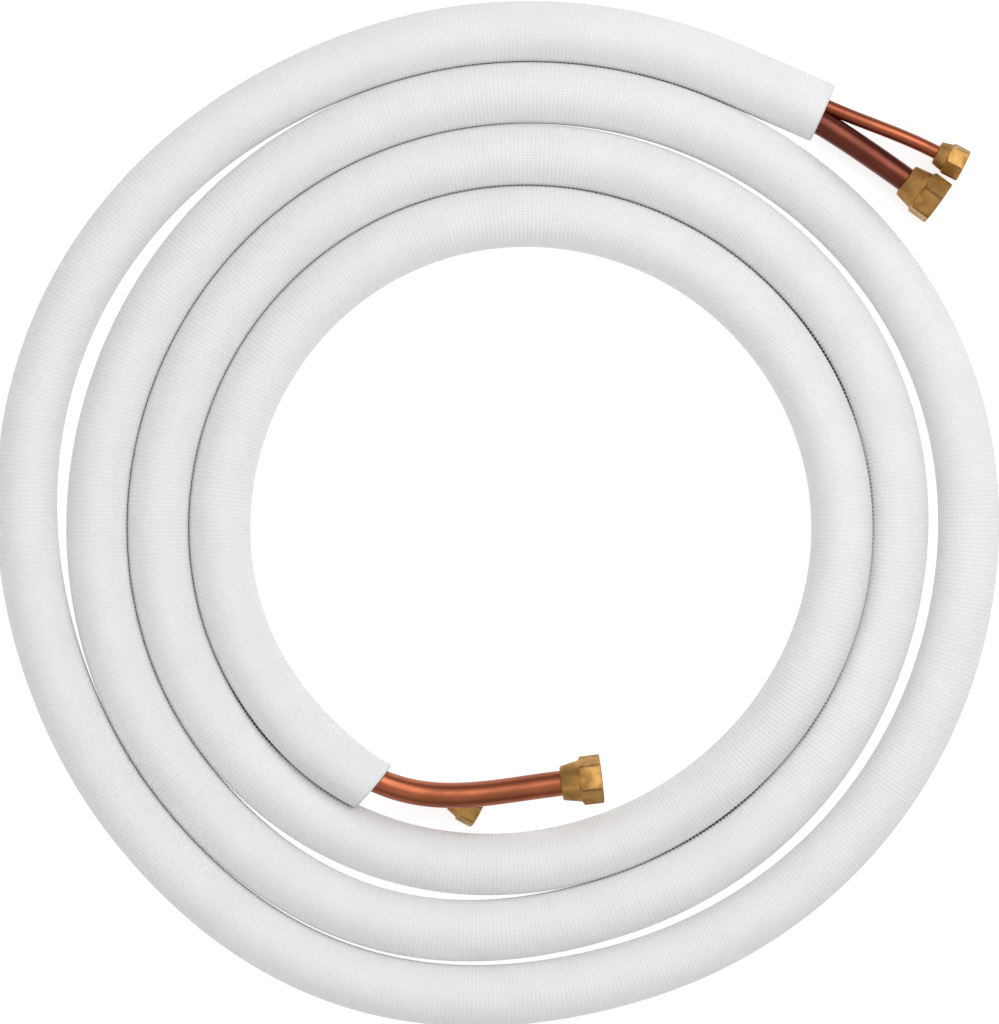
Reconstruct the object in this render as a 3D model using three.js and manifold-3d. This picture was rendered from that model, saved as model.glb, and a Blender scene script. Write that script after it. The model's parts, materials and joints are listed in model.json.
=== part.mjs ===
// Mini split line set: two copper pipes in one foam sleeve, wound in a flat coil, with four flare nuts.
// Millimetres, +Z up. The origin lies on the floor at the centre of the coil.
import * as THREE from 'three';
import { mergeVertices } from 'three/addons/utils/BufferGeometryUtils.js';
import Module from 'manifold-3d';

const wasm = await Module();
wasm.setup();

// Pipes
const SUCTION_OD = 12.7;
const LIQUID_OD = 6.35;
const PIPE_WALL = 0.8;
const CLEARANCE = 0.3;

// Foam sleeve
const FOAM_WALL = 7.1;
const BORE_SHIFT = 2;
const TURN_GAP = 0.1;

// Coil, with angles in degrees and turned angles counted from the sleeve's inner end
const COIL_SWEEP = 1274.4;
const INNER_END_AZIMUTH = 245.4;
const INNER_RADIUS = 160.15;
const OVALS = [
  { lobes: 1, size: 10.74, azimuth: -47.5 },
  { lobes: 2, size: 2.49, azimuth: 38.9 },
  { lobes: 3, size: 1.18, azimuth: -4.7 },
];
const TURN_GAPS = [
  { at: 713, spread: 34, size: 4.4 },
  { at: 985, spread: 127, size: 5.6 },
  { at: 1167, spread: 54, size: 7.9 },
];
const RIDE_OVER = { at: 260, spread: 60, size: 14 };
const INNER_END_RISE = { at: 0, spread: 40, size: 11 };
const OUTER_END_SPRING = { span: 11.4, size: 5.4 };
const PAIR_ROLL = { inner: -90, outer: 0 };

// Flare nuts, with the back face as the start of each length
const SUCTION_NUT = {
  flats: 24, length: 23, hexLength: 12.4, neckBack: 19.6, neckFront: 23.4, backRound: 1.1,
  thread: 17.4, threadDepth: 13,
};
const LIQUID_NUT = {
  flats: 17, length: 17, hexLength: 10.6, neckBack: 13.8, neckFront: 16.5, backRound: 0.9,
  thread: 9.9, threadDepth: 9,
};
const FLARE_GAP = 0.4;
const HEX_CHAMFER_SLOPE = 0.6;
const MOUTH_CHAMFER = 0.5;

// Free ends: where each nut's back face lies from the sleeve's end, and how its axis turns from the sleeve's
const SUCTION_OUTER_END = { reach: 57.8, aside: -16.2, rise: -0.5, heading: -12, pitch: 0, spin: 22 };
const LIQUID_OUTER_END = { reach: 67.5, aside: 5, rise: 0, heading: -3, pitch: 0, spin: -14 };
const SUCTION_INNER_END = { reach: 95.2, aside: -43.5, rise: 3.3, heading: -31, pitch: 2, spin: -8 };
const LIQUID_INNER_END = { reach: 43, aside: -9.6, rise: -16.1, heading: 4, pitch: -4, spin: 10 };
const BEND_HANDLE = 0.36;

// Facets
const STEP = 9;
const SLEEVE_SIDES = 16;
const BORE_SIDES = 8;
const SUCTION_SIDES = { outer: 10, inner: 6 };
const LIQUID_SIDES = { outer: 8, inner: 5 };
const END_STEPS = 8;
const TURNED_SIDES = 20;

// Sizes that follow
const SLEEVE_BORE = SUCTION_OD + LIQUID_OD + 3 * CLEARANCE;
const SLEEVE_OD = SLEEVE_BORE + 2 * FOAM_WALL;
const TURN_SPACING = SLEEVE_OD / Math.cos(Math.PI / SLEEVE_SIDES) + TURN_GAP;
const UP = new THREE.Vector3(0, 0, 1);

const foam = new THREE.MeshStandardMaterial({ color: 0xe9e9e7, roughness: 0.85, metalness: 0 });
const copper = new THREE.MeshStandardMaterial({ color: 0xb4643c, roughness: 0.35, metalness: 1 });
const brass = new THREE.MeshStandardMaterial({ color: 0xa8853f, roughness: 0.4, metalness: 1 });

const radians = THREE.MathUtils.degToRad;

// A smooth rise and fall, size high at its middle and nothing past its spread
function bump(turned, { at, spread, size }) {
  const away = Math.min(1, Math.abs(turned - at) / spread);
  return 0.5 * size * (1 + Math.cos(Math.PI * away));
}

function lift(turned) {
  return bump(turned, RIDE_OVER) + bump(turned, INNER_END_RISE);
}

// Distance across the floor between two turns that touch, one of them raised over the other
function seat(raised) {
  return Math.sqrt(TURN_SPACING ** 2 - raised ** 2);
}

// Distance of the sleeve's centre line from the coil's centre: the innermost turn grows steadily and is a
// little oval, and each next turn lies against the one inside it, except at the gaps
function coilRadius(turned) {
  const azimuth = INNER_END_AZIMUTH - turned;
  const turn = Math.max(0, Math.floor(turned / 360));
  const first = turned - 360 * turn;
  let radius = INNER_RADIUS + TURN_SPACING * first / 360;
  for (const oval of OVALS) {
    radius += oval.size * Math.cos(oval.lobes * radians(azimuth - oval.azimuth));
  }
  radius += TURN_SPACING - seat(bump(first, INNER_END_RISE));
  for (let inside = first; inside < turned - 1; inside += 360) {
    radius += seat(lift(inside + 360) - lift(inside));
    for (const gap of TURN_GAPS) {
      radius += bump(inside + 360, gap);
    }
  }
  const sprung = Math.max(0, turned - COIL_SWEEP + OUTER_END_SPRING.span) / OUTER_END_SPRING.span;
  return radius + OUTER_END_SPRING.size * sprung ** 2;
}

function sleeveCentre(turned) {
  const azimuth = radians(INNER_END_AZIMUTH - turned);
  const radius = coilRadius(turned);
  return new THREE.Vector3(radius * Math.cos(azimuth), radius * Math.sin(azimuth), SLEEVE_OD / 2 + lift(turned));
}

// Level axes at a place on the coil: along it with the turned angle growing, and away from the coil's centre
function sleeveAxes(turned) {
  const along = sleeveCentre(turned + 0.5).sub(sleeveCentre(turned - 0.5)).setZ(0).normalize();
  const outward = new THREE.Vector3().crossVectors(UP, along);
  return { along, outward };
}

// A pipe's centre inside the sleeve. The pair turns over slowly from one end of the coil to the other.
function pipeCentre(turned, fromBore) {
  const { outward } = sleeveAxes(turned);
  const roll = radians(THREE.MathUtils.lerp(PAIR_ROLL.inner, PAIR_ROLL.outer, turned / COIL_SWEEP));
  return sleeveCentre(turned)
    .addScaledVector(outward, fromBore * Math.cos(roll) - BORE_SHIFT)
    .addScaledVector(UP, fromBore * Math.sin(roll));
}

function coilStations() {
  const steps = Math.ceil(COIL_SWEEP / STEP);
  return Array.from({ length: steps + 1 }, (_, index) => Math.min(index * STEP, COIL_SWEEP));
}

// A curve whose steps are exactly the points it is given
class StationCurve extends THREE.CatmullRomCurve3 {
  getUtoTmapping(u) {
    return u;
  }
}

// Regular outline with flats that touch the given circle, or with corners on it
function outline(diameter, sides, flatsOnCircle) {
  const radius = flatsOnCircle ? diameter / 2 / Math.cos(Math.PI / sides) : diameter / 2;
  return Array.from({ length: sides }, (_, index) => {
    const angle = (index + 0.5) * 2 * Math.PI / sides;
    return new THREE.Vector2(radius * Math.cos(angle), radius * Math.sin(angle));
  });
}

function ring(outer, inner) {
  const shape = new THREE.Shape(outer);
  shape.holes.push(new THREE.Path(inner));
  return shape;
}

function sweep(shape, points) {
  const extrudePath = new StationCurve(points);
  return new THREE.ExtrudeGeometry(shape, { steps: points.length - 1, extrudePath, bevelEnabled: false });
}

function solid(geometry) {
  const bare = new THREE.BufferGeometry();
  bare.setAttribute('position', geometry.getAttribute('position'));
  if (geometry.index) {
    bare.setIndex(geometry.index);
  }
  const merged = mergeVertices(bare, 1e-4);
  const { array } = merged.getAttribute('position');
  return new wasm.Manifold(new wasm.Mesh({
    numProp: 3,
    vertProperties: Float32Array.from(array),
    triVerts: Uint32Array.from(merged.index.array),
  }));
}

function geometryOf(manifold) {
  const { numProp, vertProperties, triVerts } = manifold.getMesh();
  const geometry = new THREE.BufferGeometry();
  geometry.setAttribute('position', new THREE.BufferAttribute(Float32Array.from(vertProperties), numProp));
  geometry.setIndex(new THREE.BufferAttribute(Uint32Array.from(triVerts), 1));
  geometry.computeVertexNormals();
  return geometry;
}

// A turned ring around +Z from radius and height pairs that close on themselves
function turned(profile) {
  const points = [...profile, profile[0]].map(([radius, height]) => new THREE.Vector2(radius, height));
  return new THREE.LatheGeometry(points, TURNED_SIDES).rotateX(Math.PI / 2);
}

// Sizes that a nut and its pipe's flare share, as heights above the nut's back face
function flareSeat(nut, pipeOd) {
  const bore = pipeOd / 2 + CLEARANCE;
  const coneEnd = nut.length - nut.threadDepth;
  const coneStart = coneEnd - (nut.thread / 2 - bore);
  const flareRadius = nut.thread / 2 - FLARE_GAP;
  const flareStart = coneStart + CLEARANCE * (Math.SQRT2 - 1);
  return { bore, coneStart, coneEnd, flareRadius, flareStart };
}

function makeNut(nut, pipeOd) {
  const { bore, coneStart, coneEnd } = flareSeat(nut, pipeOd);
  const corner = nut.flats / 2 / Math.cos(Math.PI / 6);
  const hexStart = nut.length - nut.hexLength;
  const cornerRise = (corner - nut.neckFront / 2) * HEX_CHAMFER_SLOPE;
  const envelope = turned([
    [bore, 0],
    [nut.neckBack / 2 - nut.backRound, 0],
    [nut.neckBack / 2, nut.backRound],
    [nut.neckFront / 2, hexStart],
    [corner, hexStart + cornerRise],
    [corner, nut.length - MOUTH_CHAMFER],
    [corner - MOUTH_CHAMFER * 2, nut.length],
    [nut.thread / 2 + MOUTH_CHAMFER, nut.length],
    [nut.thread / 2, nut.length - MOUTH_CHAMFER],
    [nut.thread / 2, coneEnd],
    [bore, coneStart],
  ]);
  const hexagon = new THREE.Shape(outline(nut.flats, 6, true));
  const prism = new THREE.ExtrudeGeometry(hexagon, { depth: nut.length + 2, bevelEnabled: false });
  prism.translate(0, 0, -1);
  return geometryOf(solid(envelope).intersect(solid(prism)));
}

// The flare at a pipe's end, with a short root inside the swept pipe
function makeFlare(nut, pipeOd) {
  const { flareRadius, flareStart } = flareSeat(nut, pipeOd);
  const pipeRadius = pipeOd / 2;
  const boreRadius = pipeRadius - PIPE_WALL;
  const rim = flareStart + flareRadius - pipeRadius;
  const rimBore = flareRadius - PIPE_WALL * Math.SQRT2;
  const root = flareStart - PIPE_WALL;
  return turned([
    [pipeRadius, root],
    [pipeRadius, flareStart],
    [flareRadius, rim],
    [rimBore, rim],
    [boreRadius, rim - (rimBore - boreRadius)],
    [boreRadius, root],
  ]);
}

// Where a nut's back face lies, and its turned and level axes
function nutPlace(turnedAngle, forward, end) {
  const { outward } = sleeveAxes(turnedAngle);
  const origin = sleeveCentre(turnedAngle)
    .addScaledVector(forward, end.reach)
    .addScaledVector(outward, end.aside)
    .addScaledVector(UP, end.rise);
  const heading = radians(end.heading);
  const pitch = radians(end.pitch);
  const axis = forward.clone().multiplyScalar(Math.cos(heading) * Math.cos(pitch))
    .addScaledVector(outward, Math.sin(heading) * Math.cos(pitch))
    .addScaledVector(UP, Math.sin(pitch));
  const aside = new THREE.Vector3().crossVectors(UP, axis).normalize();
  const top = new THREE.Vector3().crossVectors(axis, aside).applyAxisAngle(axis, radians(end.spin));
  const side = new THREE.Vector3().crossVectors(axis, top);
  const matrix = new THREE.Matrix4().makeBasis(top, side, axis).setPosition(origin);
  return { origin, axis, matrix };
}

// The free length of a pipe from the sleeve's end: one bend to the nut's back face, then straight to the flare
function freeEnd(start, forward, place, flareStart) {
  const finish = place.origin;
  const handle = BEND_HANDLE * start.distanceTo(finish);
  const bend = new THREE.CubicBezierCurve3(
    start,
    start.clone().addScaledVector(forward, handle),
    finish.clone().addScaledVector(place.axis, -handle),
    finish,
  );
  return [...bend.getPoints(END_STEPS).slice(1), finish.clone().addScaledVector(place.axis, flareStart)];
}

function makePipe({ od, sides, nut, fromBore, innerEnd, outerEnd }) {
  const { flareStart } = flareSeat(nut, od);
  const forwardOut = sleeveAxes(COIL_SWEEP).along;
  const forwardIn = sleeveAxes(0).along.negate();
  const inner = nutPlace(0, forwardIn, innerEnd);
  const outer = nutPlace(COIL_SWEEP, forwardOut, outerEnd);
  const points = [
    ...freeEnd(pipeCentre(0, fromBore), forwardIn, inner, flareStart).reverse(),
    ...coilStations().map((place) => pipeCentre(place, fromBore)),
    ...freeEnd(pipeCentre(COIL_SWEEP, fromBore), forwardOut, outer, flareStart),
  ];
  const section = ring(outline(od, sides.outer, false), outline(od - 2 * PIPE_WALL, sides.inner, false));
  let pipe = solid(sweep(section, points));
  for (const place of [inner, outer]) {
    pipe = pipe.add(solid(makeFlare(nut, od).applyMatrix4(place.matrix)));
  }
  return { geometry: geometryOf(pipe), inner, outer };
}

function makeSleeve() {
  const bore = outline(SLEEVE_BORE, BORE_SIDES, true).map((point) => point.setY(point.y + BORE_SHIFT));
  const section = ring(outline(SLEEVE_OD, SLEEVE_SIDES, true), bore);
  return sweep(section, coilStations().map(sleeveCentre).reverse());
}

function addMesh(group, name, geometry, material, matrix) {
  const mesh = new THREE.Mesh(geometry, material);
  mesh.name = name;
  if (matrix) {
    matrix.decompose(mesh.position, mesh.quaternion, mesh.scale);
  }
  group.add(mesh);
}

const lineSet = new THREE.Group();
addMesh(lineSet, 'insulation_sleeve', makeSleeve(), foam);

const PIPES = [
  {
    name: 'suction', od: SUCTION_OD, sides: SUCTION_SIDES, nut: SUCTION_NUT,
    fromBore: -(SLEEVE_BORE / 2 - SUCTION_OD / 2 - CLEARANCE),
    innerEnd: SUCTION_INNER_END, outerEnd: SUCTION_OUTER_END,
  },
  {
    name: 'liquid', od: LIQUID_OD, sides: LIQUID_SIDES, nut: LIQUID_NUT,
    fromBore: SLEEVE_BORE / 2 - LIQUID_OD / 2 - CLEARANCE,
    innerEnd: LIQUID_INNER_END, outerEnd: LIQUID_OUTER_END,
  },
];
for (const pipe of PIPES) {
  const { geometry, inner, outer } = makePipe(pipe);
  addMesh(lineSet, `${pipe.name}_pipe`, geometry, copper);
  addMesh(lineSet, `${pipe.name}_nut_outer`, makeNut(pipe.nut, pipe.od), brass, outer.matrix);
  addMesh(lineSet, `${pipe.name}_nut_inner`, makeNut(pipe.nut, pipe.od), brass, inner.matrix);
}

export default lineSet;
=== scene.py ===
"""Mini split line set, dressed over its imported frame.

Two soft copper pipes share one white foam sleeve, which is wound clockwise into a flat spiral coil.
Both pipes come out at each end of the sleeve, and a brass flare nut turns on every pipe end.
The coil's own numbers are kept as millimetres and degrees turned from its inner end, and everything
that reaches the scene is in metres.
"""

from __future__ import annotations

import json
import logging
import math
from collections.abc import Mapping, Sequence
from dataclasses import dataclass, field
from enum import Enum
from typing import Any

import bpy
import numpy as np
from mathutils import Matrix, Vector

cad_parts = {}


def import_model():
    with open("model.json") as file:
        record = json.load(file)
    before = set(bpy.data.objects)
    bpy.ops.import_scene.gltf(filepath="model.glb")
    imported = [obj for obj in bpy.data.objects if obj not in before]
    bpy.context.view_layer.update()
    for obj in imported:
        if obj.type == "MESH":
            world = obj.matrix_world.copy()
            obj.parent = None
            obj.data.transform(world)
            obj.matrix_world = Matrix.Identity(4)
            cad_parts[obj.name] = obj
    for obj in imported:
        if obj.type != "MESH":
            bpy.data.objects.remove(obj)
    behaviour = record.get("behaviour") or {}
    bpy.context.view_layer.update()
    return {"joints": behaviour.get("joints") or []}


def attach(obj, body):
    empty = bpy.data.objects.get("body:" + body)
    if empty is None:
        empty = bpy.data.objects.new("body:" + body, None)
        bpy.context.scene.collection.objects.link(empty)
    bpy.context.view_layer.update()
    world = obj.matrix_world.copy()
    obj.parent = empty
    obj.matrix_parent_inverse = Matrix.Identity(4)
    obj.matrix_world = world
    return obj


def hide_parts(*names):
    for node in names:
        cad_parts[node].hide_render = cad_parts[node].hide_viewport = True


LOG = logging.getLogger("line_set")

MM = 0.001
ALONG = Vector((1.0, 0.0, 0.0))
UP = Vector((0.0, 0.0, 1.0))
FULL_TURN = 360.0
PHOTO_WIDTH = 999
PHOTO_HEIGHT = 1024

# Point attributes that the materials read

WORKED_PLACE = "worked_place"
# Where turns touch, which the foam's material paints as shade
CONTACT_SHADE = "contact_shade"
CUT_FACE = "cut_face"

# Sizes that the sleeve, the pipes and the nuts share, in millimetres

SUCTION_OD = 12.7
LIQUID_OD = 6.35
CLEARANCE = 0.3
SLEEVE_BORE = SUCTION_OD + LIQUID_OD + 3 * CLEARANCE
SLEEVE_OD = 34.15
SLEEVE_SIDES = 16
TURN_GAP = 0.1

Colour = tuple[float, float, float]
Ring = tuple[float, float]


class CoilEnd(Enum):
    """The two ends of the coil, by the word that the joints' names use."""

    INNER = "inner"
    OUTER = "outer"


class PipeKind(Enum):
    """The two copper pipes, by the word that the nodes' names use."""

    SUCTION = "suction"
    LIQUID = "liquid"


# Shader sockets and nodes


class Shade:
    """A value in a material, on which plain arithmetic adds the Math nodes that work it out."""

    def __init__(self, bench: NodeBench, socket: bpy.types.NodeSocket) -> None:
        """Wraps a socket.

        Args:
            bench: The tree's bench, which makes further nodes.
            socket: The output socket that holds the value.
        """
        self.bench = bench
        self.socket = socket

    def _math(self, operation: str, *values: Shade | float) -> Shade:
        """Adds one Math node.

        Args:
            operation: The Math node's operation.
            values: Its inputs in order.

        Returns:
            The node's result.
        """
        inputs = dict(enumerate(values))
        return self.bench.node("ShaderNodeMath", {"operation": operation}, inputs)

    def __add__(self, other: Shade | float) -> Shade:
        """Sum."""
        return self._math("ADD", self, other)

    def __radd__(self, other: float) -> Shade:
        """Sum with a number in front."""
        return self._math("ADD", other, self)

    def __sub__(self, other: Shade | float) -> Shade:
        """Difference."""
        return self._math("SUBTRACT", self, other)

    def __rsub__(self, other: float) -> Shade:
        """Difference from a number."""
        return self._math("SUBTRACT", other, self)

    def __mul__(self, other: Shade | float) -> Shade:
        """Product."""
        return self._math("MULTIPLY", self, other)

    def __rmul__(self, other: float) -> Shade:
        """Product with a number in front."""
        return self._math("MULTIPLY", other, self)

    def __truediv__(self, other: Shade | float) -> Shade:
        """Quotient."""
        return self._math("DIVIDE", self, other)

    def __pow__(self, other: Shade | float) -> Shade:
        """Power."""
        return self._math("POWER", self, other)

    def away_from_middle(self) -> Shade:
        """0 in the middle of each whole step and 1 where one step meets the next."""
        return self._math("ABSOLUTE", self._math("FRACT", self) * 2.0 - 1.0)

    def greater(self, other: Shade) -> Shade:
        """The larger of two values."""
        return self._math("MAXIMUM", self, other)

    def ramp(self, low: float, high: float) -> Shade:
        """Rises smoothly from 0 at low to 1 at high.

        Args:
            low: The value that gives 0.
            high: The value that gives 1.

        Returns:
            The smoothed and limited value.
        """
        settings = {"interpolation_type": "SMOOTHSTEP"}
        inputs = {"Value": self, "From Min": low, "From Max": high}
        return self.bench.node("ShaderNodeMapRange", settings, inputs)


class NodeBench:
    """Where a node tree is put together, with the one method that adds a node."""

    def __init__(self, tree: bpy.types.NodeTree) -> None:
        """Takes the tree that nodes are added to."""
        self.tree = tree

    def node(
        self,
        kind: str,
        settings: Mapping[str, Any] | None = None,
        inputs: Mapping[str | int, Any] | None = None,
        output: str | int | None = 0,
    ) -> Shade | None:
        """Adds a node.

        Args:
            kind: The node's type.
            settings: What is set on the node itself, before its sockets.
            inputs: A value or a Shade for each input socket that is used.
            output: The output socket that is wanted, or None for a node that has none.

        Returns:
            That output.
        """
        made = self.tree.nodes.new(kind)
        for name, value in (settings or {}).items():
            setattr(made, name, value)
        for key, value in (inputs or {}).items():
            self.plug(made.inputs[key], value)
        return None if output is None else Shade(self, made.outputs[output])

    def plug(self, socket: bpy.types.NodeSocket, value: Any) -> None:
        """Links a Shade to a socket, or sets a plain value on it.

        Args:
            socket: The input socket.
            value: The Shade or value that goes in.
        """
        if isinstance(value, Shade):
            self.tree.links.new(value.socket, socket)
        else:
            socket.default_value = value

    def parts(self, vector: Shade) -> tuple[Shade, Shade, Shade]:
        """A vector's X, Y and Z."""
        x = self.node("ShaderNodeSeparateXYZ", inputs={0: vector})
        outputs = x.socket.node.outputs
        return x, Shade(self, outputs[1]), Shade(self, outputs[2])


class FinishBench(NodeBench):
    """Where one material is put together around its surface shader."""

    def __init__(self, name: str) -> None:
        """Starts an empty material with a surface shader.

        Args:
            name: The material's name.
        """
        self.material = bpy.data.materials.new(name)
        self.material.use_nodes = True
        super().__init__(self.material.node_tree)
        self.tree.nodes.clear()
        surface = self.node("ShaderNodeBsdfPrincipled")
        self.surface = surface.socket.node
        self.node("ShaderNodeOutputMaterial", inputs={"Surface": surface}, output=None)

    def mix(self, factor: Shade | float, low: Any, high: Any) -> Shade:
        """Blends two colours.

        Args:
            factor: 0 gives low and 1 gives high.
            low: A colour or a Shade.
            high: A colour or a Shade.

        Returns:
            The blended colour.
        """
        inputs = {"Factor": factor, 6: opaque(low), 7: opaque(high)}
        return self.node("ShaderNodeMix", {"data_type": "RGBA"}, inputs, output=2)

    def place(self) -> tuple[Shade, Shade, Shade]:
        """The place on a piece before it was bent or set in place, as three lengths in millimetres."""
        settings = {"attribute_name": WORKED_PLACE}
        return self.parts(self.node("ShaderNodeAttribute", settings, output="Vector"))

    def mask(self, name: str) -> Shade:
        """A number that was painted on the piece's points."""
        return self.node("ShaderNodeAttribute", {"attribute_name": name}, output="Fac")

    def noise(self, x: Any, y: Any, z: Any, scale: float, detail: float = 2.0) -> Shade:
        """Soft noise between 0 and 1.

        Args:
            x: First coordinate.
            y: Second coordinate.
            z: Third coordinate.
            scale: Noise features in one unit of the coordinates.
            detail: Octaves of finer noise.

        Returns:
            The noise.
        """
        at = self.node("ShaderNodeCombineXYZ", inputs={0: x, 1: y, 2: z})
        inputs = {"Vector": at, "Scale": scale, "Detail": detail}
        return self.node("ShaderNodeTexNoise", inputs=inputs, output="Fac")

    def bump(self, height: Shade, distance: float) -> None:
        """Gives the surface a relief.

        Args:
            height: The relief, from 0 to 1.
            distance: What 1 stands for, in metres.
        """
        inputs = {"Height": height, "Distance": distance}
        self.plug(self.surface.inputs["Normal"], self.node("ShaderNodeBump", inputs=inputs))

    def set(self, **values: Any) -> None:
        """Sets the surface shader's sockets, named with underscores for spaces."""
        for name, value in values.items():
            self.plug(self.surface.inputs[name.replace("_", " ").title()], opaque(value))


def opaque(colour: Any) -> Any:
    """Adds alpha to a plain colour, and leaves all else as it is."""
    if isinstance(colour, tuple) and len(colour) == 3:
        return (*colour, 1.0)
    return colour


def tint(colour: Colour, *gains: float) -> Colour:
    """Multiplies a colour by one gain, or by a gain for each of its parts."""
    return tuple(gain * part for part, gain in zip(colour, gains * 3))


# Finishes


@dataclass(frozen=True)
class FoamSkin:
    """White polyethylene foam under an embossed skin of small woven-looking squares."""

    white: Colour = (0.855, 0.855, 0.86)
    # Grey painted into the grooves of the skin as shade
    line: Colour = (0.44, 0.44, 0.445)
    # Near-black painted shade for the creases where two turns touch
    crease: Colour = (0.03, 0.02, 0.016)
    core: Colour = (0.80, 0.79, 0.765)
    rows: int = 68
    groove_shade_share: float = 0.25
    crease_shade_share: float = 0.97
    relief: float = 0.00014
    roughness: float = 0.55

    def make(self, bead: float) -> bpy.types.Material:
        """Builds the material.

        Args:
            bead: Millimetres from one pressed rib to the next.

        Returns:
            The material.
        """
        bench = FinishBench("embossed_white_foam")
        x, y, z = bench.place()
        angle = bench.node("ShaderNodeMath", {"operation": "ARCTAN2"}, {0: y, 1: z})
        column = angle * (self.rows / math.tau)
        rib = (x / bead).away_from_middle()
        row = column.away_from_middle()
        thread = bench.noise(x, y, z, 0.9, 3.0)
        # Painted shade: the grooves between the ribs and between the rows are greyed, more in some places
        # than others
        rib_groove_shade = rib.ramp(0.62, 1.0) * thread.ramp(0.28, 0.62)
        row_groove_shade = row.ramp(0.50, 1.0) * (1.0 - rib.ramp(0.55, 1.0) * 0.6) * thread.ramp(0.34, 0.66)
        groove_shade = (rib_groove_shade * 0.7).greater(row_groove_shade)
        cut = bench.mask(CUT_FACE)
        groove_shade = groove_shade * (1.0 - cut)
        tone = bench.noise(x, y, z, 0.045, 2.0)
        white = bench.mix(tone.ramp(0.25, 0.75), tint(self.white, 0.965), self.white)
        skin = bench.mix(groove_shade * self.groove_shade_share, white, self.line)
        # Painted shade where two turns touch: dark spots in the rib valleys where they come close, and a
        # solid dark line where they touch
        contact_shade = bench.mask(CONTACT_SHADE)
        dotted_crease_shade = contact_shade.ramp(0.10, 0.55) * rib.ramp(0.25, 0.62)
        crease = dotted_crease_shade.greater(contact_shade.ramp(0.80, 1.0))
        skin = bench.mix(crease * self.crease_shade_share, skin, self.crease)
        at = bench.node("ShaderNodeCombineXYZ", inputs={0: x, 1: y, 2: z})
        cells = bench.node("ShaderNodeTexVoronoi", inputs={"Vector": at, "Scale": 1.4})
        core = bench.mix(cells.ramp(0.1, 0.75), tint(self.core, 0.86), self.core)
        bench.set(base_color=bench.mix(cut, skin, core))
        bench.set(roughness=self.roughness + 0.14 * thread + 0.2 * cut)
        squares = (1.0 - row.ramp(0.35, 1.0)) * (1.0 - rib.ramp(0.55, 1.0))
        bench.bump(squares * (1.0 - cut) + cut * cells + 0.22 * thread, self.relief)
        return bench.material


@dataclass(frozen=True)
class DrawnCopper:
    """Soft drawn copper pipe with uneven tarnish, fine drawing streaks, and one colour at its inner end and
    another at its outer end.
    """

    name: str
    inner_end: Colour
    outer_end: Colour
    length: float
    roughness: float = 0.27
    relief: float = 0.00002

    def make(self) -> bpy.types.Material:
        """Builds the material.

        Returns:
            The material.
        """
        bench = FinishBench(self.name)
        x, y, z = bench.place()
        # The colour shifts from the inner end's to the outer end's over the middle of the pipe
        along = (x / (self.length / MM)).ramp(0.2, 0.8)
        clean = bench.mix(along, self.inner_end, self.outer_end)
        dull = bench.mix(along, tint(self.inner_end, 0.50), tint(self.outer_end, 0.46))
        streaks = bench.noise(x * 0.012, y, z, 2.4, 4.0)
        clouds = bench.noise(x * 0.4, y, z, 0.09, 3.0)
        blush = bench.noise(x * 0.6, y, z, 0.16, 2.0)
        tarnish = clouds.ramp(0.38, 0.68) * 0.45 + streaks.ramp(0.42, 0.72) * 0.35
        colour = bench.mix(tarnish, clean, dull)
        rosy_inner = tint(self.inner_end, 1.1, 1.0, 1.15)
        rosy = bench.mix(along, rosy_inner, tint(self.outer_end, 1.15, 1.0, 1.2))
        colour = bench.mix(blush.ramp(0.55, 0.8) * 0.5, colour, rosy)
        bench.set(base_color=colour, metallic=1.0)
        bench.set(roughness=self.roughness + 0.12 * tarnish + 0.10 * streaks)
        bench.bump(streaks + clouds * 0.3, self.relief)
        return bench.material


@dataclass(frozen=True)
class TurnedBrass:
    """Machined brass with turning rings, a little tarnish, painted shade at its corners, and corners worn
    bright that also carry a painted highlight.
    """

    clean: Colour = (0.52, 0.29, 0.09)
    dull: Colour = (0.30, 0.157, 0.047)
    # Painted shade along the hexagon's corners
    corner_shade: Colour = (0.13, 0.065, 0.025)
    # Brighter worn corners, which also stand for a painted highlight
    worn_and_highlight: Colour = (0.85, 0.63, 0.36)
    roughness: float = 0.47
    relief: float = 0.00003

    def make(self, name: str, corner: float) -> bpy.types.Material:
        """Builds the material.

        Args:
            name: The material's name.
            corner: Millimetres from a nut's axis to the corners of its hexagon.

        Returns:
            The material.
        """
        bench = FinishBench(name)
        x, y, z = bench.place()
        reach = (x * x + y * y) ** 0.5
        clouds = bench.noise(x, y, z, 0.16, 4.0)
        grain = bench.noise(x, y, z, 1.1, 3.0)
        rings = bench.noise(reach * 0.25, 0.0, z, 3.2, 2.0)
        patches = bench.noise(x, y, z, 0.11, 1.0)
        tarnish = clouds.ramp(0.36, 0.66) * 0.65 + grain.ramp(0.45, 0.75) * 0.25
        colour = bench.mix(tarnish, self.clean, self.dull)
        # Painted shade along the hexagon's corners, in patches
        corner_shade_mask = reach.ramp(corner * 0.955, corner * 0.99)
        colour = bench.mix(corner_shade_mask * grain.ramp(0.25, 0.5) * 0.75, colour, self.corner_shade)
        # The corners worn bright in patches, which also paints a highlight along them
        worn_and_highlight = reach.ramp(corner * 0.978, corner * 0.993) * patches.ramp(0.50, 0.60)
        colour = bench.mix(worn_and_highlight * 0.85, colour, self.worn_and_highlight)
        bench.set(base_color=colour, metallic=1.0)
        bench.set(roughness=self.roughness + 0.16 * tarnish - 0.10 * worn_and_highlight)
        bench.bump(rings * 0.7 + grain * 0.5, self.relief)
        return bench.material


# The coil's route, in millimetres and degrees turned


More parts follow.
